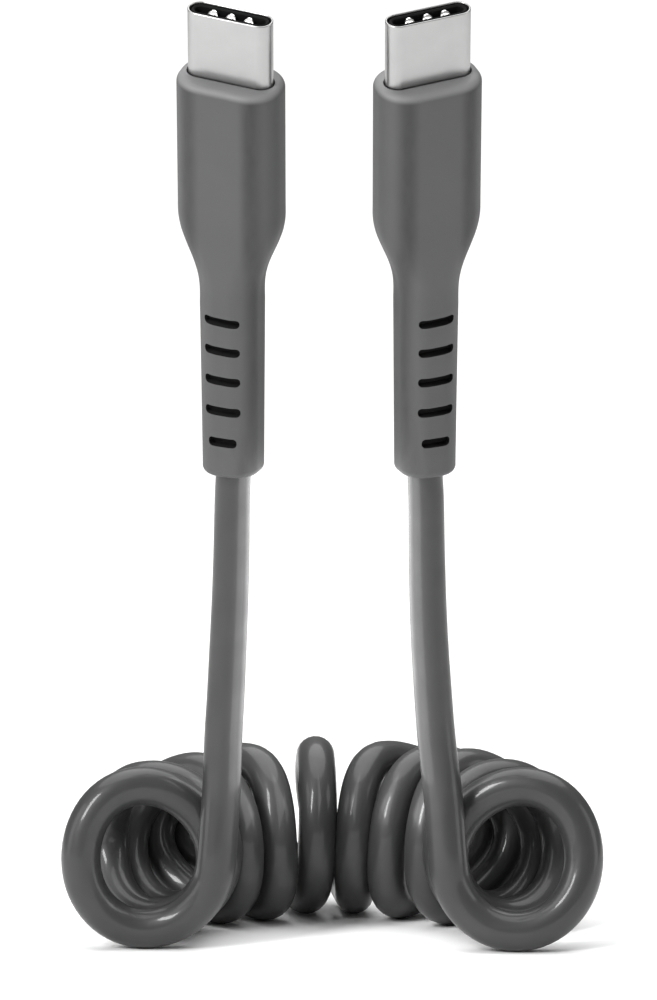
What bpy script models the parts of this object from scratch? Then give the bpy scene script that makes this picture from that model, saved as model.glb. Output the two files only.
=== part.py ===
# Curly charging cord with a flat 24-contact plug on each end, standing on its own coil.
# Metres, +Z up. The origin lies on the floor, below the middle of the part's box.
# The coil is bent into a half ring that opens towards -Y, and the plugs stand over its open side.

import bmesh
import bpy
from math import cos, pi, radians, sin
from mathutils import Euler, Matrix, Vector

# Cord and coil
cord_diameter = 0.0036
turn_radius = 0.0065          # middle of the cord, round the coil's own axis
bend_radius = 0.0174          # the coil's axis, seen from above
coil_half_angle = 92.6        # degrees from the back of the bend to each end face of the coil solid
coil_sides = 24
coil_steps = 20

# First turn, which lies in front of the coil's end face; angles round the bend from its back
first_turn_inner = 109.0
first_turn_outer = 97.0
first_turn_radius = 0.0064
first_bend_radius = 0.0178
lead_in_turn = 165.0          # degrees of the first turn that belong to the tail

# Plug, measured along its own axis from the bottom of the strain relief
plug_middle = -0.0003         # the pair of plugs stands this far off the coil's middle
plug_offset = 0.00897         # plug axis from the middle of the pair
plug_forward = 0.0060         # how far the cord's exit stands in front of the bend's centre
plug_height = 0.0461          # the cord's exit above the floor
plug_lean = 28.0              # degrees the grip leans towards -Y
relief_bend = 15.0            # degrees the relief bends back towards the cord below it
plug_turn = 22.0              # degrees, broad faces turned outwards

relief_length = 0.0179
relief_bottom_width = 0.0055
relief_bottom_depth = 0.0055
relief_top_width = 0.0057
relief_top_depth = 0.0058
relief_corner = 0.0023
relief_end_round = 0.0007
shoulder_length = 0.0107
shoulder_delay = 1.15         # above 1 the shoulder widens later than halfway up
grip_length = 0.0137
grip_width = 0.01005
grip_depth = 0.0064
grip_corner = 0.0029
grip_lip_round = 0.0008

slot_count = 5
first_slot = 0.0038
slot_pitch = 0.0033
slot_width = 0.0035
first_slot_width = 0.0028
slot_height = 0.0009
slot_depth = 0.0010

# Metal shell and what is inside it
shell_width = 0.00825
shell_depth = 0.0024
shell_wall = 0.0002
shell_exposed = 0.00665
shell_seat = 0.0020
carrier_wall = 0.0003
carrier_recess = 0.0001
tongue_slot_depth = 0.0055
blade_thickness = 0.00015
ground_blade_count = 3
ground_blade_pitch = 0.00175
ground_blade_width = 0.0010
ground_blade_length = 0.0016
ground_blade_setback = 0.00012
contact_count = 12
contact_pitch = 0.0005
contact_width = 0.00025
contact_length = 0.0020
contact_setback = 0.0030
blade_root = 0.0005

# Clearances
meeting_gap = 0.0003          # cord to relief
seat_gap = 0.00015            # between nested plug pieces
blade_gap = 0.0001

# Tails: from the plug through these points (left x, right x, y from the bend's centre, z) into the
# first turn
tail_points = [
    (-0.00940, 0.00882, -0.0052, 0.0431),
    (-0.00949, 0.00889, -0.0043, 0.0385),
    (-0.00964, 0.00901, -0.0037, 0.0336),
    (-0.00985, 0.00922, -0.0033, 0.0289),
    (-0.01008, 0.00954, -0.0031, 0.0241),
    (-0.01030, 0.00984, -0.0031, 0.0203),
    (-0.01052, 0.01048, -0.0033, 0.0146),
]
tail_spacing = 0.0042         # between the sections of a tail's solid

# (share of its length, share of its inset) of a rounded edge, from its foot to its end
lip_steps = [(0.0, 0.0), (0.35, 0.07), (0.7, 0.29), (1.0, 1.0)]


def clear_scene():
    for item in list(bpy.data.objects):
        bpy.data.objects.remove(item, do_unlink=True)


def new_collection(name):
    group = bpy.data.collections.new(name)
    bpy.context.scene.collection.children.link(group)
    return group


def principled(name, colour, roughness, metallic=0.0):
    material = bpy.data.materials.new(name)
    material.use_nodes = True
    shader = material.node_tree.nodes["Principled BSDF"]
    shader.inputs["Base Color"].default_value = (*colour, 1.0)
    shader.inputs["Roughness"].default_value = roughness
    shader.inputs["Metallic"].default_value = metallic
    return material


def add_object(name, mesh, material, group):
    item = bpy.data.objects.new(name, mesh)
    item.data.materials.append(material)
    group.objects.link(item)
    return item


def shade_round(item, angle=35.0):
    item.data.shade_smooth()
    item.data.set_sharp_from_angle(angle=radians(angle))


# Outlines, as lists of (x, y) that run anticlockwise

def rounded_rectangle(width, depth, corner, per_corner=8):
    outline = []
    for quarter, (sx, sy) in enumerate([(1, 1), (-1, 1), (-1, -1), (1, -1)]):
        cx = sx * (width / 2 - corner)
        cy = sy * (depth / 2 - corner)
        for step in range(per_corner):
            angle = pi / 2 * (quarter + step / (per_corner - 1))
            outline.append((cx + corner * cos(angle), cy + corner * sin(angle)))
    return outline


def stadium(width, depth):
    nearly_half = 0.4995      # a full half would leave a side of no length between two corners
    return rounded_rectangle(width, depth, depth * nearly_half, per_corner=7)


# Solids along a plug's own axis

def upright(height):
    return Matrix.Translation((0.0, 0.0, height))


def loft(name, sections, capped=True, place=upright):
    """sections: list of (height, outline), from the bottom up; place gives the plane of a height"""
    shape = bmesh.new()
    rings = []
    for height, outline in sections:
        plane = place(height)
        rings.append([shape.verts.new(plane @ Vector((x, y, 0.0))) for x, y in outline])
    count = len(rings[0])
    for low, high in zip(rings, rings[1:]):
        for i in range(count):
            j = (i + 1) % count
            shape.faces.new((low[i], low[j], high[j], high[i]))
    if capped:
        shape.faces.new(list(reversed(rings[0])))
        shape.faces.new(rings[-1])
    mesh = bpy.data.meshes.new(name)
    shape.to_mesh(mesh)
    shape.free()
    return mesh


def prism(name, outline, low, high):
    return loft(name, [(low, outline), (high, outline)])


def box(name, low, high):
    shape = bmesh.new()
    size = [b - a for a, b in zip(low, high)]
    middle = [(a + b) / 2 for a, b in zip(low, high)]
    bmesh.ops.create_cube(shape, size=1.0)
    bmesh.ops.scale(shape, vec=size, verts=shape.verts)
    bmesh.ops.translate(shape, vec=middle, verts=shape.verts)
    mesh = bpy.data.meshes.new(name)
    shape.to_mesh(mesh)
    shape.free()
    return mesh


def cut(item, cutter_mesh, cutters):
    cutter = bpy.data.objects.new("cutter", cutter_mesh)
    cutters.objects.link(cutter)
    cutter.parent = item.parent
    cutter.hide_render = True
    cutter.display_type = "WIRE"
    modifier = item.modifiers.new("cut", "BOOLEAN")
    modifier.operation = "DIFFERENCE"
    modifier.solver = "EXACT"
    modifier.object = cutter
    return cutter


grip_top = relief_length + shoulder_length + grip_length
plug_tip = grip_top + shell_exposed
shell_bottom = grip_top - shell_seat
carrier_width = shell_width - 2 * (shell_wall + seat_gap)
carrier_depth = shell_depth - 2 * (shell_wall + seat_gap)
carrier_tip = plug_tip - carrier_recess
tongue_width = carrier_width - 2 * carrier_wall
tongue_gap = carrier_depth - 2 * carrier_wall
slot_floor = carrier_tip - tongue_slot_depth


def axis_plane(side, height, bend_y=0.0):
    """The plane across a plug at a height along its axis, which is an arc in the relief"""
    in_relief = min(height, relief_length)
    bottom_lean = radians(plug_lean - relief_bend)
    lean = bottom_lean + radians(relief_bend) * in_relief / relief_length
    radius = relief_length / radians(relief_bend)
    beyond = height - in_relief
    forward = radius * (cos(bottom_lean) - cos(lean)) + beyond * sin(lean)
    rise = radius * (sin(lean) - sin(bottom_lean)) + beyond * cos(lean)
    place = Matrix.Translation((plug_middle + side * plug_offset,
                                bend_y - plug_forward - forward, plug_height + rise))
    tilt = Matrix.Rotation(lean, 4, "X")
    turn = Matrix.Rotation(radians(side * plug_turn), 4, "Z")
    return place @ tilt @ turn


def plug_matrix(side, bend_y):
    """Frame of the straight part of a plug, whose heights still count from the relief's bottom"""
    return axis_plane(side, relief_length, bend_y) @ upright(-relief_length)


def relief_plane(side, height):
    """axis_plane seen from the plug's own frame"""
    return plug_matrix(side, 0.0).inverted() @ axis_plane(side, height)


def bend_middle():
    """Y of the bend's centre that puts the part's box round the origin"""
    back = bend_radius + turn_radius + cord_diameter / 2
    matrix = plug_matrix(1, 0.0)
    tip = [matrix @ Vector((x, y, plug_tip)) for x, y in stadium(shell_width, shell_depth)]
    lip = rounded_rectangle(grip_width, grip_depth, grip_corner)
    lip = [matrix @ Vector((x, y, grip_top - grip_lip_round)) for x, y in lip]
    front = -min(point.y for point in tip + lip)
    return (front - back) / 2


# Grip and strain relief, moulded in one

def eased(share):
    """0 to 1 with a level start and end"""
    return share ** 3 * (share * (share * 6 - 15) + 10)


def grip_sections():
    sections = []
    for share, inset in reversed(lip_steps):
        shrink = 2 * relief_end_round * inset
        outline = rounded_rectangle(relief_bottom_width - shrink, relief_bottom_depth - shrink,
                                    relief_corner - shrink / 2)
        sections.append((relief_end_round * (1 - share), outline))
    relief_steps = 5
    for step in range(1, relief_steps):
        share = step / relief_steps
        width = relief_bottom_width + (relief_top_width - relief_bottom_width) * share
        depth = relief_bottom_depth + (relief_top_depth - relief_bottom_depth) * share
        sections.append((relief_length * share, rounded_rectangle(width, depth, relief_corner)))
    shoulder_steps = 10
    for step in range(shoulder_steps + 1):
        share = step / shoulder_steps
        flare = eased(share ** shoulder_delay)
        width = relief_top_width + (grip_width - relief_top_width) * flare
        depth = relief_top_depth + (grip_depth - relief_top_depth) * flare
        corner = relief_corner + (grip_corner - relief_corner) * share
        sections.append((relief_length + shoulder_length * share,
                         rounded_rectangle(width, depth, corner)))
    for share, inset in lip_steps:
        shrink = 2 * grip_lip_round * inset
        outline = rounded_rectangle(grip_width - shrink, grip_depth - shrink,
                                    grip_corner - shrink / 2)
        sections.append((grip_top - grip_lip_round * (1 - share), outline))
    return sections


def make_grip(name, side, parent, material, group, cutters):
    def place(height):
        return relief_plane(side, height)

    grip = add_object(name, loft(name, grip_sections(), place=place), material, group)
    grip.parent = parent
    pocket = stadium(shell_width + 2 * seat_gap, shell_depth + 2 * seat_gap)
    low = shell_bottom - seat_gap
    cut(grip, prism("pocket", pocket, low, grip_top + shell_seat), cutters)
    for slot in range(slot_count):
        height = first_slot + slot * slot_pitch
        taper = (relief_top_depth - relief_bottom_depth) * height / relief_length
        floor = (relief_bottom_depth + taper) / 2 - slot_depth
        width = first_slot_width if slot == 0 else slot_width
        for face in (-1, 1):
            ends = sorted((face * floor, face * grip_depth))
            low = (-width / 2, ends[0], -slot_height / 2)
            high = (width / 2, ends[1], slot_height / 2)
            cutter = cut(grip, box("slot", low, high), cutters)
            cutter.matrix_local = place(height)
    shade_round(grip)
    return grip


# Shell, contact carrier and blades

def make_shell(name, parent, material, group):
    outline = stadium(shell_width, shell_depth)
    tube = loft(name, [(shell_bottom, outline), (plug_tip, outline)], capped=False)
    shell = add_object(name, tube, material, group)
    shell.parent = parent
    wall = shell.modifiers.new("wall", "SOLIDIFY")
    wall.thickness = shell_wall
    wall.offset = -1.0
    wall.use_even_offset = True
    shade_round(shell)
    return shell


def make_carrier(name, parent, material, group, cutters):
    outline = stadium(carrier_width, carrier_depth)
    carrier = add_object(name, prism(name, outline, shell_bottom, carrier_tip), material, group)
    carrier.parent = parent
    mouth = stadium(tongue_width, tongue_gap)
    cut(carrier, prism("mouth", mouth, slot_floor, plug_tip + carrier_recess), cutters)
    shade_round(carrier)
    return carrier


def comb(count, pitch, width, length, root):
    """Outline of one stamped strip: a root along the bottom and fingers with round tips that point up"""
    outline = [(-(count - 1) * pitch / 2 - width / 2, -root)]
    outline.append((-outline[0][0], -root))
    tip_steps = 6
    for finger in reversed(range(count)):
        middle = (finger - (count - 1) / 2) * pitch
        outline.append((middle + width / 2, 0.0))
        for step in range(tip_steps + 1):
            angle = pi * step / tip_steps
            outline.append((middle + width / 2 * cos(angle),
                            length - width / 2 + width / 2 * sin(angle)))
        outline.append((middle - width / 2, 0.0))
    return outline


def make_blades(name, parent, face, outline, top, length, material, group):
    """A flat strip inside the mouth, against its wide wall on the given face"""
    flat = bpy.data.curves.new(name, "CURVE")
    flat.dimensions = "2D"
    flat.fill_mode = "BOTH"
    flat.extrude = blade_thickness / 2
    spline = flat.splines.new("POLY")
    spline.points.add(len(outline) - 1)
    for point, (x, y) in zip(spline.points, outline):
        point.co = (x, y, 0.0, 1.0)
    spline.use_cyclic_u = True
    strip = bpy.data.objects.new(name, flat)
    flat.materials.append(material)
    group.objects.link(strip)
    strip.parent = parent
    strip.location = (0.0, face * (tongue_gap / 2 - blade_gap - blade_thickness / 2), top - length)
    strip.rotation_euler = Euler((pi / 2, 0.0, 0.0))
    return strip


# Cord

def first_turn_point(side, swept, bend_y):
    """A point of the first turn, the given degrees round the coil's own axis from its inner side"""
    angle = side * (first_turn_inner + (first_turn_outer - first_turn_inner) * swept / 180)
    reach = first_bend_radius - first_turn_radius * cos(radians(swept))
    height = cord_diameter / 2 + first_turn_radius * (1 - sin(radians(swept)))
    return Vector((reach * sin(radians(angle)), bend_y + reach * cos(radians(angle)), height))


def smooth_route(points, spacing):
    """Evenly spaced points along a smooth curve through the given ones"""
    ends = [2 * points[0] - points[1], *points, 2 * points[-1] - points[-2]]
    fine = []
    fine_steps = 24
    for a, b, c, d in zip(ends, ends[1:], ends[2:], ends[3:]):
        for step in range(fine_steps):
            t = step / fine_steps
            fine.append(0.5 * (2 * b + (c - a) * t + (2 * a - 5 * b + 4 * c - d) * t ** 2
                               + (3 * b - a - 3 * c + d) * t ** 3))
    fine.append(points[-1])
    travelled = [0.0]
    for low, high in zip(fine, fine[1:]):
        travelled.append(travelled[-1] + (high - low).length)
    count = round(travelled[-1] / spacing)
    route = [fine[0]]
    index = 0
    for step in range(1, count):
        target = travelled[-1] * step / count
        while travelled[index + 1] < target:
            index += 1
        share = (target - travelled[index]) / (travelled[index + 1] - travelled[index])
        route.append(fine[index].lerp(fine[index + 1], share))
    return route + [fine[-1]]


def tail_route(side, bend_y):
    points = [axis_plane(side, 0.0, bend_y) @ Vector((0.0, 0.0, -meeting_gap))]
    for left_x, right_x, y, z in tail_points:
        points.append(Vector((right_x if side > 0 else left_x, bend_y + y, z)))
    lead_in_steps = 4
    for step in range(lead_in_steps + 1):
        points.append(first_turn_point(side, lead_in_turn * step / lead_in_steps, bend_y))
    return smooth_route(points, tail_spacing)


def make_tail(name, route, material, group):
    line = bpy.data.curves.new(name, "CURVE")
    line.dimensions = "3D"
    line.bevel_depth = cord_diameter / 2
    line.bevel_resolution = 2
    line.use_fill_caps = True
    spline = line.splines.new("POLY")
    spline.points.add(len(route) - 1)
    for point, place in zip(spline.points, route):
        point.co = (*place, 1.0)
    line.materials.append(material)
    tail = bpy.data.objects.new(name, line)
    group.objects.link(tail)
    return tail


def make_coil(name, bend_y, material, group):
    """The coil's outer shape with its bore: a round section turned through half a ring"""
    outer = turn_radius + cord_diameter / 2
    shape = bmesh.new()
    ring = []
    for side in range(coil_sides):
        angle = pi / 2 - 2 * pi * side / coil_sides
        ring.append(shape.verts.new((bend_radius + outer * cos(angle), 0.0,
                                     outer * (1 + sin(angle)))))
    for low, high in zip(ring, ring[1:] + ring[:1]):
        shape.edges.new((low, high))
    mesh = bpy.data.meshes.new(name)
    shape.to_mesh(mesh)
    shape.free()
    coil = add_object(name, mesh, material, group)
    coil.location = (0.0, bend_y, 0.0)
    coil.rotation_euler = Euler((0.0, 0.0, radians(90.0 - coil_half_angle)))
    turned = coil.modifiers.new("turned", "SCREW")
    turned.axis = "Z"
    turned.angle = radians(2 * coil_half_angle)
    turned.steps = coil_steps
    turned.render_steps = coil_steps
    turned.use_merge_vertices = False
    wall = coil.modifiers.new("wall", "SOLIDIFY")
    wall.thickness = cord_diameter
    wall.offset = -1.0
    wall.use_even_offset = True
    return coil


def main():
    clear_scene()
    group = new_collection("curly_charging_cord")
    cutters = new_collection("cutters")
    steel = principled("bright_nickel", (0.78, 0.78, 0.78), 0.22, 1.0)
    blade = principled("blade_steel", (0.85, 0.85, 0.83), 0.25, 1.0)
    gold = principled("contact_plating", (0.83, 0.62, 0.28), 0.3, 1.0)
    moulding = principled("grip_rubber", (0.115, 0.115, 0.115), 0.62)
    insulator = principled("contact_carrier_black", (0.012, 0.012, 0.012), 0.5)
    jacket = principled("cord_jacket", (0.065, 0.065, 0.065), 0.34)
    bend_y = bend_middle()
    make_coil("coil", bend_y, jacket, group)
    for label, side in (("left", -1), ("right", 1)):
        axis = bpy.data.objects.new(label + "_plug_axis", None)
        axis.matrix_world = plug_matrix(side, bend_y)
        group.objects.link(axis)
        make_tail(label + "_tail", tail_route(side, bend_y), jacket, group)
        make_grip(label + "_grip", side, axis, moulding, group, cutters)
        make_shell(label + "_shell", axis, steel, group)
        make_carrier(label + "_contact_carrier", axis, insulator, group, cutters)
        ground = comb(ground_blade_count, ground_blade_pitch, ground_blade_width,
                      ground_blade_length, blade_root)
        pins = comb(contact_count, contact_pitch, contact_width, contact_length, blade_root)
        for face_label, face in (("front", -1), ("back", 1)):
            make_blades(label + "_" + face_label + "_ground_blades", axis, face, ground,
                        carrier_tip - ground_blade_setback, ground_blade_length, blade, group)
            make_blades(label + "_" + face_label + "_contacts", axis, face, pins,
                        carrier_tip - contact_setback, contact_length, gold, group)


main()
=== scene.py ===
# %% [markdown]
# # A curly charging cord, dressed for a studio picture
# The object is a short charging cord with a flat oval plug on each end. The cord is wound into a
# spring, the spring is bent into a half ring that lies on the table, and both plugs stand up over
# its open side. A solid model of it, the frame, already says how large each piece is and where it
# goes. This lesson adds what a solid model leaves out: the real turns of the cord, soft edges,
# finishes and light.

# %% Load the frame
import bmesh
import bpy
from math import cos, pi, radians, sin
from mathutils import Matrix, Vector


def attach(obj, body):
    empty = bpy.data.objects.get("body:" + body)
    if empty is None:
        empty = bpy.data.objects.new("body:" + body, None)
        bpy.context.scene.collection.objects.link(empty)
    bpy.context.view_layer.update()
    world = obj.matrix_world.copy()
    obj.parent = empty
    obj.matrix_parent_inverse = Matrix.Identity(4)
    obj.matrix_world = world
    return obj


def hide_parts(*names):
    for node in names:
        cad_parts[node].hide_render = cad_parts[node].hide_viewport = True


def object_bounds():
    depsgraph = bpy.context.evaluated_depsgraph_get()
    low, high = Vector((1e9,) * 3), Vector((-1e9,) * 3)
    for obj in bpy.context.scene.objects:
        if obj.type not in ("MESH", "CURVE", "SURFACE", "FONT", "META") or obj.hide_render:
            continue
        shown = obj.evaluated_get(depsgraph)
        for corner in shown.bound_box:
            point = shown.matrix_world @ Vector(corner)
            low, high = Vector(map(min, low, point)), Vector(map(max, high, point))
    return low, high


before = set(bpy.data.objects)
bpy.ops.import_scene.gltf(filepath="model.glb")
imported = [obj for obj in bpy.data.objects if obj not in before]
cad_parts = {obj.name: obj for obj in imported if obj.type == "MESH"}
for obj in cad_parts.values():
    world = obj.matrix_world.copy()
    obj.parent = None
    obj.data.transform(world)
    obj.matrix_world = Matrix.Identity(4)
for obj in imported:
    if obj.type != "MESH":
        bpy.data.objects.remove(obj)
cad_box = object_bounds()
millimetre = 0.001
print("CAD box in mm:", [round(high - low, 4) / millimetre for low, high in zip(*cad_box)])

# %% [markdown]
# ## Sizes of the cord and the coil
# The coil's solid is one fat tube, and the turns of the cord have to fill it, so the bend is the
# same and the turns are within a few tenths of a millimetre of its width and height. The cord is a
# little fuller where it is wound, because bending swells a soft jacket, and slimmer in the tails.

# %% Sizes of the cord and the coil
cord_diameter = 0.0036
coil_thickness = 1.05
tail_thickness = 0.92
thinning_power = 1.5
solid_turn_radius = 0.0065
turn_reach = 0.0063
turn_rise = 0.0066
bend_radius = 0.0174
bend_y = cad_box[1][1] - bend_radius - solid_turn_radius - cord_diameter / 2
print("the bend's centre lies", round(bend_y / millimetre, 2), "mm behind the origin")

# %% [markdown]
# ## The camera
# The picture looks slightly down on the object from far away, as a product photographer does with a
# long lens, so the front and back turns come out almost the same size. The lens follows from the
# distance and from how many pixels one metre covers in the picture.

# %% Where the camera stands
picture_height = 1000
pixels_per_metre = 10500
camera_distance = 0.800
camera_elevation = radians(7.0)
aim_left = -0.00036
aim_behind_bend = 0.0056
aim_height = 0.04183

# %% Make the camera
camera_data = bpy.data.cameras.new("studio_camera")
camera_data.sensor_fit = "VERTICAL"
camera_data.sensor_height = 24.0
camera_data.lens = camera_data.sensor_height * pixels_per_metre * camera_distance / picture_height
camera = bpy.data.objects.new("studio_camera", camera_data)
aim = Vector((aim_left, bend_y + aim_behind_bend, aim_height))
back = Vector((0.0, -cos(camera_elevation), sin(camera_elevation)))
camera.location = aim + back * camera_distance
camera.rotation_euler = back.to_track_quat("Z", "Y").to_euler()
bpy.context.scene.collection.objects.link(camera)
bpy.context.scene.camera = camera
print("lens in mm:", round(camera_data.lens, 1))

# %% [markdown]
# ## How the cord runs
# A wound cord is a helix round an axis, and here the axis is itself a half circle. So each point of
# the cord needs two angles: one round the bend, seen from above, and one around the coil's own
# axis. On the inner side of the bend the turns touch, and on the outer side they fan out. Real turns
# are never quite even, so the angle round the bend is given anew for every quarter turn.
#
# Each end of the coil is wound as the mirror image of the other, so somewhere the winding has to
# change hands. Curly cords do this with one hairpin. It lies at the back here, a little left of the
# middle, where the front turns hide it.

# %% Points on the coil and a smooth line through points


def coil_point(angle, around, pull=0.0, lift=0.0):
    """A point of the cord: angle round the bend from its back, around the coil's own axis"""
    reach = bend_radius + pull + turn_reach * cos(radians(around))
    height = coil_thickness * cord_diameter / 2 + lift + turn_rise * (1 + sin(radians(around)))
    return Vector((reach * sin(radians(angle)), bend_y + reach * cos(radians(angle)), height))


def spline_between(a, b, c, d, t):
    """The smooth curve between b and c, for numbers or vectors"""
    return 0.5 * (2 * b + (c - a) * t + (2 * a - 5 * b + 4 * c - d) * t ** 2
                  + (3 * b - a - 3 * c + d) * t ** 3)


def smooth_route(points, spacing):
    """Evenly spaced points along a smooth curve through the given ones, and its length"""
    ends = [2 * points[0] - points[1], *points, 2 * points[-1] - points[-2]]
    fine = []
    fine_steps = 24
    for a, b, c, d in zip(ends, ends[1:], ends[2:], ends[3:]):
        fine += [spline_between(a, b, c, d, step / fine_steps) for step in range(fine_steps)]
    fine.append(points[-1])
    travelled = [0.0]
    for low, high in zip(fine, fine[1:]):
        travelled.append(travelled[-1] + (high - low).length)
    count = round(travelled[-1] / spacing)
    route = [fine[0]]
    index = 0
    for step in range(1, count):
        target = travelled[-1] * step / count
        while travelled[index + 1] < target:
            index += 1
        share = (target - travelled[index]) / (travelled[index + 1] - travelled[index])
        route.append(fine[index].lerp(fine[index + 1], share))
    return route + [fine[-1]], travelled[-1]


# %% Where the turns lie
# Angles in degrees, one for each quarter turn from the tail on; "pull" and "lift" move single
# quarters out from the bend's centre and up, in metres.
first_turn_pull = [0.0005, 0.0005, 0.0003, 0.0008]
right_turns = {
    "angles": [109, 104, 97, 94, 90, 78, 67.7, 66, 71, 63, 57, 46.5, 52.4, 47, 47.3, 33, 29.0, 25.6,
               37.6, 16.2, 11.0, 6.8, -3, -5.3, -7.3, -9.2, -14],
    "pull": {13: -0.0015, 17: -0.0015},
    "lift": {3: 0.00022, 7: -0.00026, 23: 0.00034},
}
left_turns = {
    "angles": [109, 98, 97, 94.5, 90, 78, 65, 75.5, 70.5, 63, 55.5, 47.0, 49.6, 44.5, 46.2, 28, 28.2,
               27.6, 37.4],
    "pull": {13: -0.0015, 17: -0.0025},
    "lift": {3: 0.0003, 11: -0.00038},
}
hairpin_foot = -20.0
hairpin_top = 40.0
hairpin_bulge = 0.0010
hairpin_step = 12


# %% Turns from one tail to the hairpin


def winding(side, turns):
    """The turns from one tail to its leg of the hairpin; side is -1 on the left and 1 on the right"""
    knots = []
    for quarter, angle in enumerate(turns["angles"]):
        pull = turns["pull"].get(quarter, 0.0)
        if quarter < len(first_turn_pull):
            pull = first_turn_pull[quarter]
        knots.append(Vector((side * angle, pull, turns["lift"].get(quarter, 0.0))))
    knots = [2 * knots[0] - knots[1], *knots, knots[-1]]
    points = []
    points_per_quarter = 6
    last_point = round((len(knots) - 3 + hairpin_foot / 90) * points_per_quarter)
    for step in range(last_point):
        quarter, share = divmod(step / points_per_quarter, 1)
        quarter = int(quarter)
        angle, pull, lift = spline_between(*knots[quarter:quarter + 4], share)
        points.append(coil_point(angle, 180 + 90 * (quarter + share), pull, lift))
    return points


def hairpin():
    """The half loop that joins the two windings on the outer side of the bend"""
    left_leg = -left_turns["angles"][-1]
    right_leg = right_turns["angles"][-1]
    middle = (left_leg + right_leg) / 2
    half_width = (right_leg - left_leg) / 2
    points = []
    for step in range(0, 181, hairpin_step):
        rise = sin(radians(step))
        across = half_width * cos(radians(step))
        around = hairpin_foot + (hairpin_top - hairpin_foot) * rise
        points.append(coil_point(middle - across, around, hairpin_bulge * rise))
    return points


# %% [markdown]
# ## Where the plugs stand
# Each plug is modelled upright round its own axis, with the cord's exit at zero, and is then placed
# by one matrix: moved to its side, leaned towards the camera and turned a little outwards. Only the
# strain relief is soft, so its axis is an arc that leads from the leaning grip to the steeper cord.

# %% Place of each plug
plug_middle = -0.0003
plug_offset = 0.00897
plug_forward = 0.0060
plug_height = 0.0461
plug_lean = 28.0
relief_bend = 15.0
plug_turn = 22.0
relief_length = 0.0179


def upright(height):
    return Matrix.Translation((0.0, 0.0, height))


def axis_plane(side, height):
    """The plane across a plug at a height along its axis, which is an arc in the relief"""
    in_relief = min(height, relief_length)
    bottom_lean = radians(plug_lean - relief_bend)
    lean = bottom_lean + radians(relief_bend) * in_relief / relief_length
    radius = relief_length / radians(relief_bend)
    beyond = height - in_relief
    forward = radius * (cos(bottom_lean) - cos(lean)) + beyond * sin(lean)
    rise = radius * (sin(lean) - sin(bottom_lean)) + beyond * cos(lean)
    place = Matrix.Translation((plug_middle + side * plug_offset,
                                bend_y - plug_forward - forward, plug_height + rise))
    tilt = Matrix.Rotation(lean, 4, "X")
    turn = Matrix.Rotation(radians(side * plug_turn), 4, "Z")
    return place @ tilt @ turn


def plug_matrix(side):
    """Frame of the straight part of a plug, whose heights still count from the relief's bottom"""
    return axis_plane(side, relief_length) @ upright(-relief_length)


def relief_plane(side, height):
    """axis_plane seen from the plug's own frame"""
    return plug_matrix(side).inverted() @ axis_plane(side, height)


# %% [markdown]
# ## The cord as one line
# The tails are chosen point by point, because nothing but their own stiffness shapes them.
# The turns come from the loop above. All of it becomes one open curve with a round bevel, which is
# the lightest way to make a cord and keeps its true length easy to measure.

# %% The whole route
tail_points = [
    (-0.00940, 0.00882, -0.0052, 0.0431),
    (-0.00949, 0.00889, -0.0043, 0.0385),
    (-0.00964, 0.00901, -0.0037, 0.0336),
    (-0.00985, 0.00922, -0.0033, 0.0289),
    (-0.01008, 0.00954, -0.0031, 0.0241),
    (-0.01030, 0.00984, -0.0031, 0.0203),
    (-0.01052, 0.01048, -0.0033, 0.0146),
]
cord_tuck = 0.0002
cord_spacing = 0.0006


def tail(side):
    points = [axis_plane(side, 0.0) @ Vector((0.0, 0.0, cord_tuck))]
    for left_x, right_x, y, z in tail_points:
        points.append(Vector((right_x if side > 0 else left_x, bend_y + y, z)))
    return points


left_half = tail(-1) + winding(-1, left_turns)
right_half = tail(1) + winding(1, right_turns)
whole_route = left_half + hairpin() + right_half[::-1]
cord_points, cord_length = smooth_route(whole_route, cord_spacing)
print("cord length in mm:", round(cord_length / millimetre, 1), "points:", len(cord_points))

# %% The cord
# The bevel is one metre deep, so that each point's own radius is the cord's radius in metres
cord_line = bpy.data.curves.new("cord", "CURVE")
cord_line.dimensions = "3D"
cord_line.bevel_depth = 1.0
cord_line.bevel_resolution = 9
cord_line.use_fill_caps = True
cord_spline = cord_line.splines.new("POLY")
cord_spline.points.add(len(cord_points) - 1)
for spline_point, place in zip(cord_spline.points, cord_points):
    spline_point.co = (*place, 1.0)
    height = min(1.0, place.z / plug_height)
    thickness = coil_thickness + (tail_thickness - coil_thickness) * height ** thinning_power
    spline_point.radius = thickness * cord_diameter / 2
cord_spline.use_smooth = True
cord = bpy.data.objects.new("cord", cord_line)
bpy.context.scene.collection.objects.link(cord)
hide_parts("coil", "left_tail", "right_tail")
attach(cord, "root")

# %% [markdown]
# ## Outlines and lofts
# Grip, shell and carrier all have flat oval sections, so one outline function and one loft between
# outlines make them all. A loft keeps the shoulder's curve exact, which a bevelled box would not.

# %% Outline and loft helpers


def rounded_rectangle(width, depth, corner, per_corner=14, per_side=5):
    """Points anticlockwise round a rectangle with round corners, its straight sides split evenly"""
    arcs = []
    for quarter, (sx, sy) in enumerate([(1, 1), (-1, 1), (-1, -1), (1, -1)]):
        centre = Vector((sx * (width / 2 - corner), sy * (depth / 2 - corner)))
        angles = [pi / 2 * (quarter + step / per_corner) for step in range(per_corner + 1)]
        arcs.append([centre + corner * Vector((cos(angle), sin(angle))) for angle in angles])
    outline = []
    for arc, following in zip(arcs, arcs[1:] + arcs[:1]):
        outline += arc
        outline += [arc[-1].lerp(following[0], step / per_side) for step in range(1, per_side)]
    return outline


def stadium(width, depth):
    nearly_all = 0.999      # the whole of half the depth would leave sides of no length
    return rounded_rectangle(width, depth, depth / 2 * nearly_all, per_side=1)


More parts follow.
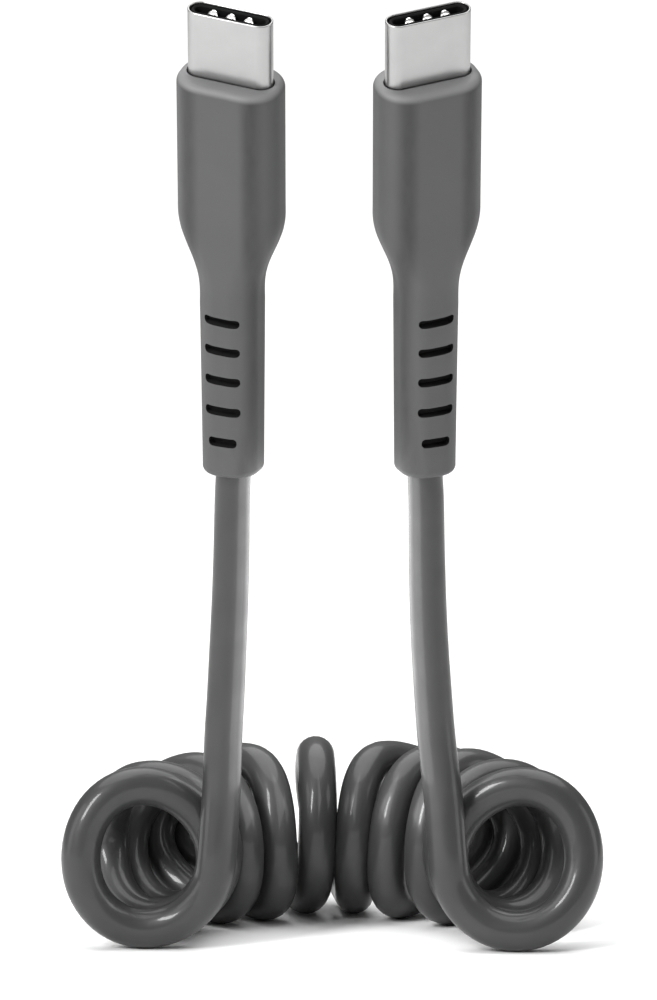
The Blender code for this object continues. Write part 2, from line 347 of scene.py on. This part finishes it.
def loft_mesh(name, sections, caps=True, place=upright):
    """Skin over (height, outline) sections, from the bottom up; place gives the plane of a height"""
    shape = bmesh.new()
    rings = []
    for height, outline in sections:
        plane = place(height)
        rings.append([shape.verts.new(plane @ Vector((x, y, 0.0))) for x, y in outline])
    for low, high in zip(rings, rings[1:]):
        for i in range(len(low)):
            j = (i + 1) % len(low)
            shape.faces.new((low[i], low[j], high[j], high[i]))
    if caps:
        shape.faces.new(rings[0][::-1])
        shape.faces.new(rings[-1])
    mesh = bpy.data.meshes.new(name)
    shape.to_mesh(mesh)
    shape.free()
    return mesh


def place_piece(name, mesh, side, slot_name, *nodes):
    """Puts a piece that was made round the plug's axis where the plug is"""
    piece = bpy.data.objects.new(name, mesh)
    bpy.context.scene.collection.objects.link(piece)
    piece.matrix_world = plug_matrix(side)
    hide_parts(*nodes)
    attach(piece, "root")
    return piece


def apply_modifiers(piece):
    """Bakes the modifiers into the mesh, so that the next step starts from plain faces"""
    graph = bpy.context.evaluated_depsgraph_get()
    made = bpy.data.meshes.new_from_object(piece.evaluated_get(graph))
    piece.modifiers.clear()
    piece.data = made


# %% [markdown]
# ## The moulded grips
# Grip, shoulder and strain relief are one moulding. The flat top has a soft lip, the shoulder sweeps
# in to a nearly round relief, and five slots on each broad face let the relief bend. The slots are
# cut with a Boolean, and then every sharp edge gets a small bevel, because no moulding tool leaves
# a knife edge and the bevel is what catches the light.

# %% Sizes of the grip
relief_bottom_width = 0.0055
relief_bottom_depth = 0.0055
relief_top_width = 0.0057
relief_top_depth = 0.0058
relief_corner = 0.0023
relief_end_round = 0.0007
shoulder_length = 0.0107
shoulder_delay = 1.15
grip_length = 0.0137
grip_width = 0.01005
grip_depth = 0.0064
grip_corner = 0.0029
grip_lip_round = 0.0008
slot_count = 5
first_slot = 0.0038
slot_pitch = 0.0033
slot_width = 0.0035
first_slot_width = 0.0028
slot_height = 0.0009
slot_depth = 0.0010
slot_rounding = 0.42
moulded_edge = 0.00009
grip_top = relief_length + shoulder_length + grip_length

# %% Sizes of the shell and its inside
shell_width = 0.00825
shell_depth = 0.0024
shell_wall = 0.0002
shell_exposed = 0.00665
shell_seat = 0.0020
seat_gap = 0.00015
plug_tip = grip_top + shell_exposed
shell_bottom = grip_top - shell_seat

# %% Grip sections


def eased_edge(length):
    """(height, inset) pairs for a rounded edge, from its foot to its end"""
    steps = 7
    return [(length * sin(pi / 2 * i / steps), length * (1 - cos(pi / 2 * i / steps)))
            for i in range(steps + 1)]


def eased(share):
    """0 to 1 with a level start and end"""
    return share ** 3 * (share * (share * 6 - 15) + 10)


def grip_sections():
    sections = []
    for height, inset in reversed(eased_edge(relief_end_round)):
        outline = rounded_rectangle(relief_bottom_width - 2 * inset,
                                    relief_bottom_depth - 2 * inset, relief_corner - inset)
        sections.append((relief_end_round - height, outline))
    straight_steps = 12
    for step in range(1, straight_steps):
        share = step / straight_steps
        width = relief_bottom_width + (relief_top_width - relief_bottom_width) * share
        depth = relief_bottom_depth + (relief_top_depth - relief_bottom_depth) * share
        height = relief_end_round + (relief_length - relief_end_round) * share
        sections.append((height, rounded_rectangle(width, depth, relief_corner)))
    shoulder_steps = 30
    for step in range(shoulder_steps + 1):
        share = step / shoulder_steps
        flare = eased(share ** shoulder_delay)
        width = relief_top_width + (grip_width - relief_top_width) * flare
        depth = relief_top_depth + (grip_depth - relief_top_depth) * flare
        corner = relief_corner + (grip_corner - relief_corner) * share
        sections.append((relief_length + shoulder_length * share,
                         rounded_rectangle(width, depth, corner)))
    for height, inset in eased_edge(grip_lip_round):
        outline = rounded_rectangle(grip_width - 2 * inset, grip_depth - 2 * inset,
                                    grip_corner - inset)
        sections.append((grip_top - grip_lip_round + height, outline))
    return sections


# %% Cutters for the slots and the shell's pocket


def cut_with(piece, cutter_mesh, place=None):
    """Takes the cutter's shape out of the piece"""
    cutter = bpy.data.objects.new("cutter", cutter_mesh)
    bpy.context.scene.collection.objects.link(cutter)
    cutter.matrix_world = piece.matrix_world @ (place or Matrix.Identity(4))
    modifier = piece.modifiers.new("cut", "BOOLEAN")
    modifier.operation = "DIFFERENCE"
    modifier.solver = "EXACT"
    modifier.object = cutter
    bpy.context.view_layer.update()
    apply_modifiers(piece)
    bpy.data.objects.remove(cutter)


def slot_cutter(width):
    """A bar with round ends whose long side lies across the relief"""
    outline = rounded_rectangle(width, slot_height, slot_height * slot_rounding, per_corner=5,
                                per_side=1)
    return loft_mesh("slot", [(0.0, outline), (grip_depth, outline)])


def make_grip(name, side):
    def place(height):
        return relief_plane(side, height)

    grip = place_piece(name, loft_mesh(name, grip_sections(), place=place), side, "grip_rubber",
                       name.replace("_moulding", ""))
    pocket = stadium(shell_width + 2 * seat_gap, shell_depth + 2 * seat_gap)
    cut_with(grip, loft_mesh("pocket", [(shell_bottom - seat_gap, pocket), (plug_tip, pocket)]))
    for slot in range(slot_count):
        middle = first_slot + slot * slot_pitch
        share = middle / relief_length
        depth = relief_bottom_depth + (relief_top_depth - relief_bottom_depth) * share
        width = first_slot_width if slot == 0 else slot_width
        for face in (-1, 1):
            inward = Matrix.Translation((0.0, face * (depth / 2 - slot_depth), 0.0))
            out = Matrix.Rotation(pi / 2 * -face, 4, "X")
            cut_with(grip, slot_cutter(width), place(middle) @ inward @ out)
    edges = grip.modifiers.new("soft_edges", "BEVEL")
    edges.limit_method = "ANGLE"
    edges.angle_limit = radians(50)
    edges.width = moulded_edge
    edges.segments = 3
    apply_modifiers(grip)
    grip.data.shade_smooth()
    grip.data.set_sharp_from_angle(angle=radians(38))
    return grip


# %% Make the grips
grips = {side: make_grip(name, side)
         for name, side in (("left_grip_moulding", -1), ("right_grip_moulding", 1))}
print("faces in one grip:", len(grips[-1].data.polygons))

# %% [markdown]
# ## The metal shells
# A plug shell is drawn from thin sheet, so it is a tube with an even wall and a rim that is rounded
# inside and out. The rim is what glints at the top of the plug, so it gets real bends.

# %% Shell


def make_shell(name, side):
    """Outer skin, round rim and inner skin as one closed loft"""
    rim = shell_wall / 2
    arc_steps = 6
    profile = [(shell_bottom, 0.0)]
    for step in range(arc_steps + 1):
        angle = pi * step / arc_steps
        profile.append((plug_tip - rim + rim * sin(angle), rim * (1 - cos(angle))))
    profile.append((shell_bottom, shell_wall))
    sections = [(height, stadium(shell_width - 2 * inset, shell_depth - 2 * inset))
                for height, inset in profile]
    sections.append(sections[0])
    shell = place_piece(name, loft_mesh(name, sections, caps=False), side, "bright_nickel",
                        name.replace("_drawn", ""))
    weld = bmesh.new()
    weld.from_mesh(shell.data)
    bmesh.ops.remove_doubles(weld, verts=weld.verts, dist=1e-7)
    weld.to_mesh(shell.data)
    weld.free()
    shell.data.shade_smooth()
    shell.data.set_sharp_from_angle(angle=radians(50))
    return shell


shells = {side: make_shell(name, side)
          for name, side in (("left_shell_drawn", -1), ("right_shell_drawn", 1))}
print("faces in one shell:", len(shells[-1].data.polygons))

# %% [markdown]
# ## Inside the mouth
# A black moulding lines the shell and leaves a wide mouth for the tongue of the socket. Along each
# wide wall three springs press on the tongue's ground plate, and their round tips are the three
# bright teeth that show at the mouth. Deeper down lie the two rows of contacts. The solid model has
# those right already, so they only get a finish.

# %% Sizes inside the mouth
carrier_wall = 0.0003
carrier_recess = 0.0001
tongue_slot_depth = 0.0055
blade_thickness = 0.00015
ground_blade_count = 3
ground_blade_pitch = 0.00175
ground_blade_width = 0.0010
ground_blade_length = 0.0016
ground_blade_setback = 0.00012
blade_root = 0.0005
blade_gap = 0.0001
carrier_width = shell_width - 2 * (shell_wall + seat_gap)
carrier_depth = shell_depth - 2 * (shell_wall + seat_gap)
carrier_tip = plug_tip - carrier_recess
tongue_width = carrier_width - 2 * carrier_wall
tongue_gap = carrier_depth - 2 * carrier_wall

# %% Contact carrier


def make_carrier(name, side):
    """A cup with a wide mouth: outside, rounded rim, inside and floor in one skin"""
    edge = carrier_wall * 0.4
    skin = [(shell_bottom, 0.0), (carrier_tip - edge, 0.0), (carrier_tip, edge),
            (carrier_tip, carrier_wall - edge), (carrier_tip - edge, carrier_wall),
            (carrier_tip - tongue_slot_depth, carrier_wall)]
    sections = [(height, stadium(carrier_width - 2 * inset, carrier_depth - 2 * inset))
                for height, inset in skin]
    carrier = place_piece(name, loft_mesh(name, sections), side, "carrier_black",
                          name.replace("_moulding", ""))
    carrier.data.shade_smooth()
    carrier.data.set_sharp_from_angle(angle=radians(40))
    return carrier


carriers = {side: make_carrier(name, side)
            for name, side in (("left_contact_carrier_moulding", -1),
                               ("right_contact_carrier_moulding", 1))}
print("mouth of a plug in mm:", round(tongue_width / millimetre, 2), "by",
      round(tongue_gap / millimetre, 2))

# %% [markdown]
# ## Springs with round tips
# The springs of one wall are stamped from one strip: a root, and three fingers that bow out from
# the wall and come back to it at their round tips. Each finger is drawn as a middle line with a
# width at every height, and the strip's four corners are then carried along it.

# %% Shape of a finger
tooth_reach = 0.00036
bow_end = 0.93
bow_power = 1.2
least_width_share = 0.03


def finger_profile():
    """(height, distance from the wall, half width) from a finger's foot to its round tip"""
    top = carrier_tip - ground_blade_setback
    foot = top - ground_blade_length
    half = ground_blade_width / 2
    steps = 24
    line = []
    for step in range(steps + 1):
        share = step / steps
        height = foot + ground_blade_length * share
        bow = tooth_reach * sin(pi * share * bow_end) ** bow_power
        into_tip = max(0.0, height - (top - half)) / half
        width = half * max(least_width_share, 1 - into_tip ** 2) ** 0.5
        line.append((height, bow, width))
    return line


def add_strip(shape, middle, line, wall, face):
    """One bent strip along its middle line, given the thickness of the sheet"""
    loops = []
    for height, off, half in line:
        near = face * (wall - off)
        far = face * (wall - off - blade_thickness)
        corners = [(-half, near), (half, near), (half, far), (-half, far)]
        if face > 0:
            corners.reverse()
        loops.append([shape.verts.new((middle + x, y, height)) for x, y in corners])
    for low, high in zip(loops, loops[1:]):
        for i in range(4):
            j = (i + 1) % 4
            shape.faces.new((low[i], low[j], high[j], high[i]))
    shape.faces.new(loops[0][::-1])
    shape.faces.new(loops[-1])


# %% Make the springs


def make_springs(name, side, face):
    """A strip's root and its fingers, against the wall on the given face"""
    shape = bmesh.new()
    wall = tongue_gap / 2 - blade_gap
    line = finger_profile()
    foot = line[0][0]
    half = (ground_blade_count - 1) * ground_blade_pitch / 2 + ground_blade_width / 2
    add_strip(shape, 0.0, [(foot - blade_root, 0.0, half), (foot, 0.0, half)], wall, face)
    for finger in range(ground_blade_count):
        middle = (finger - (ground_blade_count - 1) / 2) * ground_blade_pitch
        add_strip(shape, middle, line, wall, face)
    mesh = bpy.data.meshes.new(name)
    shape.to_mesh(mesh)
    shape.free()
    springs = place_piece(name, mesh, side, "blade_steel", name.replace("_springs", "_blades"))
    springs.data.shade_smooth()
    springs.data.set_sharp_from_angle(angle=radians(50))
    return springs


springs = [make_springs(f"{label}_{face_label}_ground_springs", side, face)
           for label, side in (("left", -1), ("right", 1))
           for face_label, face in (("front", -1), ("back", 1))]
print("spring strips:", len(springs))

# %% [markdown]
# ## Shader maths
# Finishes are worked out from a few textures and some arithmetic. Written as nodes that is hard to
# read, so a small class wraps one socket and turns plus, minus and times into Math nodes.

# %% Shader helper


class Wire:
    """One output of a material's nodes, which can be added, taken away and multiplied"""

    def __init__(self, tree, socket):
        self.tree = tree
        self.socket = socket

    def node(self, kind, settings, sockets, output=0):
        """Adds any node: first its settings, then the values or wires of its sockets"""
        made = self.tree.nodes.new(kind)
        for name, value in settings.items():
            setattr(made, name, value)
        for name, value in sockets.items():
            if isinstance(value, Wire):
                self.tree.links.new(value.socket, made.inputs[name])
            else:
                made.inputs[name].default_value = value
        return Wire(self.tree, made.outputs[output])

    def maths(self, operation, first, second):
        return self.node("ShaderNodeMath", {"operation": operation}, {0: first, 1: second})

    def __add__(self, other):
        return self.maths("ADD", self, other)

    __radd__ = __add__

    def __sub__(self, other):
        return self.maths("SUBTRACT", self, other)

    def __rsub__(self, other):
        return self.maths("SUBTRACT", other, self)

    def __mul__(self, other):
        return self.maths("MULTIPLY", self, other)

    __rmul__ = __mul__

    def size(self):
        """The value without its sign"""
        return self.maths("ABSOLUTE", self, 0.0)

    def part(self, axis):
        """One axis of a place"""
        return self.node("ShaderNodeSeparateXYZ", {}, {0: self}, output="XYZ".index(axis))

    def rise(self, low, high):
        """0 below low, 1 above high, and smooth between them"""
        sockets = {"Value": self, "From Min": low, "From Max": high}
        return self.node("ShaderNodeMapRange", {"interpolation_type": "SMOOTHSTEP"}, sockets)

    def fall(self, low, high):
        """1 below low, 0 above high"""
        return 1.0 - self.rise(low, high)

    def mix(self, low, high):
        """A colour between two by this value; each is three numbers or a wire"""
        low, high = (end if isinstance(end, Wire) else (*end, 1.0) for end in (low, high))
        sockets = {0: self, 6: low, 7: high}
        return self.node("ShaderNodeMix", {"data_type": "RGBA"}, sockets, output=2)


def noise(place, scale, detail=3.0, roughness=0.5):
    """A soft random pattern from 0 to 1, with features one metre over scale in size"""
    sockets = {"Vector": place, "Scale": scale, "Detail": detail, "Roughness": roughness}
    return place.node("ShaderNodeTexNoise", {}, sockets)


def stretched(place, x, y, z):
    """The same place with its axes scaled, to draw a pattern out along one of them"""
    return place.node("ShaderNodeMapping", {}, {"Vector": place, "Scale": (x, y, z)})


def bump(height, strength, distance):
    sockets = {"Height": height, "Strength": strength, "Distance": distance}
    return height.node("ShaderNodeBump", {}, sockets)


# %% A finish on a Principled shader


def new_finish(name, fixed):
    """A material with the shader's fixed values set on its own sockets, and the object's place"""
    material = bpy.data.materials.new(name)
    material.use_nodes = True
    tree = material.node_tree
    shader = tree.nodes["Principled BSDF"]
    for socket, value in fixed.items():
        shader.inputs[socket].default_value = value
    place = tree.nodes.new("ShaderNodeTexCoord")
    return material, shader, Wire(tree, place.outputs["Object"])


def feed(shader, **wires):
    """Links wires to the shader; base_color goes to Base Color and so on"""
    for name, wire in wires.items():
        socket = shader.inputs[name.replace("_", " ").title()]
        wire.tree.links.new(wire.socket, socket)


# %% [markdown]
# ## The cord's jacket
# The jacket is a dark grey thermoplastic drawn through a die: smooth and fairly glossy, with long
# faint waves that break up its highlights, and a thin film of handling that makes some stretches
# a little duller than others.

# %% Jacket
jacket_dark = (0.022, 0.022, 0.0223)
jacket_light = (0.033, 0.033, 0.0334)


def cord_jacket():
    fixed = {"IOR": 1.5, "Specular IOR Level": 0.35, "Coat Roughness": 0.11}
    material, shader, place = new_finish("cord_jacket", fixed)
    clouds = noise(place, 90.0)
    film = noise(place, 420.0, 4.0)
    waves = noise(place, 700.0, 2.0)
    grain = noise(place, 9000.0, 2.0)
    feed(shader,
         base_color=clouds.mix(jacket_dark, jacket_light),
         roughness=0.40 + 0.12 * film,
         coat_weight=0.50 - 0.35 * film,
         normal=bump(waves * 0.8 + grain * 0.05, 0.35, 0.00012))
    return material


cord.data.materials.append(cord_jacket())

# %% [markdown]
# ## The grips' rubbery moulding
# The grips come out of a spark-eroded tool, which leaves an even, very fine grain that scatters
# light, so they look flat beside the glossy cord. A painted highlight makes the rounded edge round
# the shell paler, and painted shade darkens a ragged band along the grip's four long corners.
# Painted shade also makes the walls of the slots nearly black.

# %% Colours and places on a grip
grip_dark = (0.050, 0.050, 0.051)
grip_light = (0.072, 0.072, 0.073)
# painted highlight: the colour of the rounded top edge round the shell
painted_lip_highlight = (0.16, 0.16, 0.161)
# painted shade: the dark band along the grip's four long corners
painted_corner_shade = (0.022, 0.022, 0.0225)
corner_place = 0.0031
corner_spread = 0.0011

# %% Grip finish


def grip_rubber():
    material, shader, place = new_finish("grip_rubber", {"IOR": 1.45})
    grain = noise(place, 7000.0, 3.0, 0.6)
    patches = noise(place, 160.0, 3.0)
    ragged = noise(stretched(place, 1500.0, 1500.0, 500.0), 1.0, 3.0)
    colour = (patches * 0.6 + grain * 0.4).mix(grip_dark, grip_light)
    # painted shade: a ragged dark band along the grip's four long corners
    from_corner = (place.part("X").size() - corner_place).size() * (1 / corner_spread)
    corner = from_corner.fall(0.1, 1.2) * (0.55 + 0.5 * ragged)
    # painted highlight: the rounded top edge round the shell is made paler
    lip = place.part("Z").rise(grip_top - grip_lip_round * 0.9, grip_top - grip_lip_round * 0.2)
    colour = corner.mix(colour, painted_corner_shade)
    feed(shader,
         base_color=lip.mix(colour, painted_lip_highlight),
         roughness=0.52 + 0.16 * grain - 0.08 * patches,
         normal=bump(grain, 0.5, 0.00004))
    return material


# %% Painted shade in the slots


def painted_slot_shade():
    material, shader, place = new_finish("slot_painted_shade", {"Specular IOR Level": 0.2})
    grain = noise(place, 7000.0, 3.0, 0.6)
    feed(shader,
         # painted shade: the walls of the slots are coloured nearly black
         base_color=grain.mix((0.004, 0.004, 0.004), (0.010, 0.010, 0.010)),
         roughness=0.75 + 0.15 * grain)
    return material


def darken_slots(grip, side):
    """Gives the faces inside the slots the second material, whose colour is painted shade"""
    for face in grip.data.polygons:
        for slot in range(slot_count):
            plane = relief_plane(side, first_slot + slot * slot_pitch).inverted()
            spot = plane @ face.center
            facing = plane.to_3x3() @ face.normal
            near = abs(spot.z) < slot_height * 0.6 and abs(spot.x) < slot_width * 0.52
            side_wall = abs(facing.z) > 0.4
            round_end = facing.x * spot.x < -0.2 * abs(spot.x)
            deep = abs(spot.y) < relief_top_depth / 2 - 0.9 * slot_depth
            if near and (side_wall or round_end or deep):
                face.material_index = 1


# %% Dress the grips
slot_shade = painted_slot_shade()
grip_finish = grip_rubber()
for side, grip in grips.items():
    grip.data.materials.clear()
    grip.data.materials.append(grip_finish)
    grip.data.materials.append(slot_shade)
    darken_slots(grip, side)
dark_faces = sum(face.material_index for face in grips[-1].data.polygons)
print("faces inside the slots of one grip:", dark_faces)

# %% [markdown]
# ## Metal and inside parts
# The shell is bright nickel over steel. It was tumbled before plating, so it is not a mirror: its
# reflections are soft, with faint streaks along the draw. The springs are bright steel at their
# tips, and painted shade makes them dark below. The contacts are plated with gold, and the carrier
# is plain black.

# %% Shell and springs
# painted shade: the springs turn dark from these depths below their tips downwards
painted_shade_full_depth = 0.00052
painted_shade_end_depth = 0.00036
painted_shade_steel = (0.02, 0.02, 0.02)


def bright_nickel():
    material, shader, place = new_finish("bright_nickel", {"Metallic": 1.0})
    streaks = noise(stretched(place, 4000.0, 4000.0, 160.0), 1.0, 3.0)
    clouds = noise(place, 300.0)
    feed(shader,
         base_color=clouds.mix((0.33, 0.33, 0.33), (0.40, 0.40, 0.396)),
         roughness=0.26 + 0.10 * streaks,
         normal=bump(streaks, 0.08, 0.00002))
    return material


def blade_steel():
    material, shader, place = new_finish("blade_steel", {"Metallic": 1.0})
    wipe = noise(place, 5000.0, 2.0)
    tip = carrier_tip - ground_blade_setback
    # painted shade: the fingers are coloured dark below their lit tips
    lit_tip = place.part("Z").rise(tip - painted_shade_full_depth, tip - painted_shade_end_depth)
    bright_steel = wipe.mix((0.86, 0.86, 0.85), (0.95, 0.95, 0.94))
    feed(shader,
         base_color=lit_tip.mix(painted_shade_steel, bright_steel),
         roughness=0.18 + 0.15 * wipe)
    return material


# %% Contacts and carrier


def contact_gold():
    material, shader, place = new_finish("contact_gold", {"Metallic": 1.0})
    wipe = noise(place, 6000.0, 2.0)
    feed(shader,
         base_color=wipe.mix((0.72, 0.50, 0.20), (0.86, 0.64, 0.30)),
         roughness=0.22 + 0.18 * wipe)
    return material


def carrier_black():
    material, shader, place = new_finish("carrier_black", {"Specular IOR Level": 0.15})
    grain = noise(place, 8000.0, 2.0)
    feed(shader,
         base_color=grain.mix((0.003, 0.003, 0.003), (0.007, 0.007, 0.007)),
         roughness=0.75 + 0.15 * grain)
    return material


# %% Hand out the metals
nickel = bright_nickel()
steel = blade_steel()
gold = contact_gold()
black = carrier_black()
for shell in shells.values():
    shell.data.materials.append(nickel)
for carrier in carriers.values():
    carrier.data.materials.append(black)
for spring in springs:
    spring.data.materials.append(steel)
for name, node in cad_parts.items():
    if name.endswith("_contacts"):
        node.data.materials.clear()
        node.data.materials.append(gold)

# %% [markdown]
# ## Floor and light
# The picture has a white sweep with only a soft shadow under the coil. A pale matte floor, an even
# white world and a very wide sun from above give that. Soft boxes light the sides, and the
# reflection of the brightest one, the key, draws the narrow highlights on the turns.

# %% Floor
floor_half_width = 3.0
floor_mesh = bpy.data.meshes.new("floor")
floor_shape = bmesh.new()
bmesh.ops.create_grid(floor_shape, x_segments=1, y_segments=1, size=floor_half_width)
floor_shape.to_mesh(floor_mesh)
floor_shape.free()
floor = bpy.data.objects.new("floor", floor_mesh)
bpy.context.scene.collection.objects.link(floor)
floor_fixed = {"Base Color": (0.92, 0.92, 0.92, 1.0), "Roughness": 0.8, "Specular IOR Level": 0.1}
floor_finish = new_finish("white_sweep", floor_fixed)[0]
floor.data.materials.append(floor_finish)

# %% World
world_strength = 0.25
world = bpy.data.worlds.new("white_room")
world.use_nodes = True
background = world.node_tree.nodes["Background"]
background.inputs["Color"].default_value = (1.0, 1.0, 1.0, 1.0)
background.inputs["Strength"].default_value = world_strength
bpy.context.scene.world = world
bpy.context.scene.view_settings.view_transform = "Standard"

# %% Sun through a white ceiling
sun_data = bpy.data.lights.new("ceiling", "SUN")
sun_data.energy = 2.9
sun_data.angle = radians(70)
sun = bpy.data.objects.new("ceiling", sun_data)
sun.rotation_euler = (radians(-12), 0.0, 0.0)
bpy.context.scene.collection.objects.link(sun)

# %% Soft boxes


def soft_box(name, place, target, width, height, radiance):
    """A rectangular light; its power follows from how bright its face should look"""
    data = bpy.data.lights.new(name, "AREA")
    data.shape = "RECTANGLE"
    data.size = width
    data.size_y = height
    data.energy = radiance * pi * width * height
    box = bpy.data.objects.new(name, data)
    box.location = place
    away = Vector(place) - Vector(target)
    box.rotation_euler = away.to_track_quat("Z", "Y").to_euler()
    bpy.context.scene.collection.objects.link(box)
    return box


# %% Two side boxes and the key
room_middle = (0.0, 0.0, 0.03)
side_radiance = 2.2
key_radiance = 32.0
soft_box("left_box", (-0.70, -0.15, 0.20), room_middle, 0.30, 0.60, side_radiance)
soft_box("right_box", (0.70, -0.15, 0.20), room_middle, 0.30, 0.60, side_radiance)
soft_box("key_box", (-0.44, -0.50, 0.46), room_middle, 0.16, 0.34, key_radiance)

# %% [markdown]
# ## A small light between the tails
# In the picture the inner sides of both tails are much brighter than their outer sides, so a light
# stands between them. It is a thin panel seen from its edge, one face to the left and one to the
# right, and the camera does not see it.

# %% The panel between the tails
panel_width = 0.024
panel_height = 0.030
panel_radiance = 3.0
half_panel = 0.0002
panel_middle = Vector((plug_middle, bend_y - 0.004, 0.029))
for side in (-1, 1):
    face = panel_middle + Vector((side * half_panel, 0.0, 0.0))
    behind = panel_middle - Vector((side, 0.0, 0.0))
    soft_box("panel", face, behind, panel_width, panel_height, panel_radiance)
print("lights:", len(bpy.data.lights))

# %% Finish
tuple(axis_plane(-1, 0.0).translation)

bpy.context.view_layer.update()
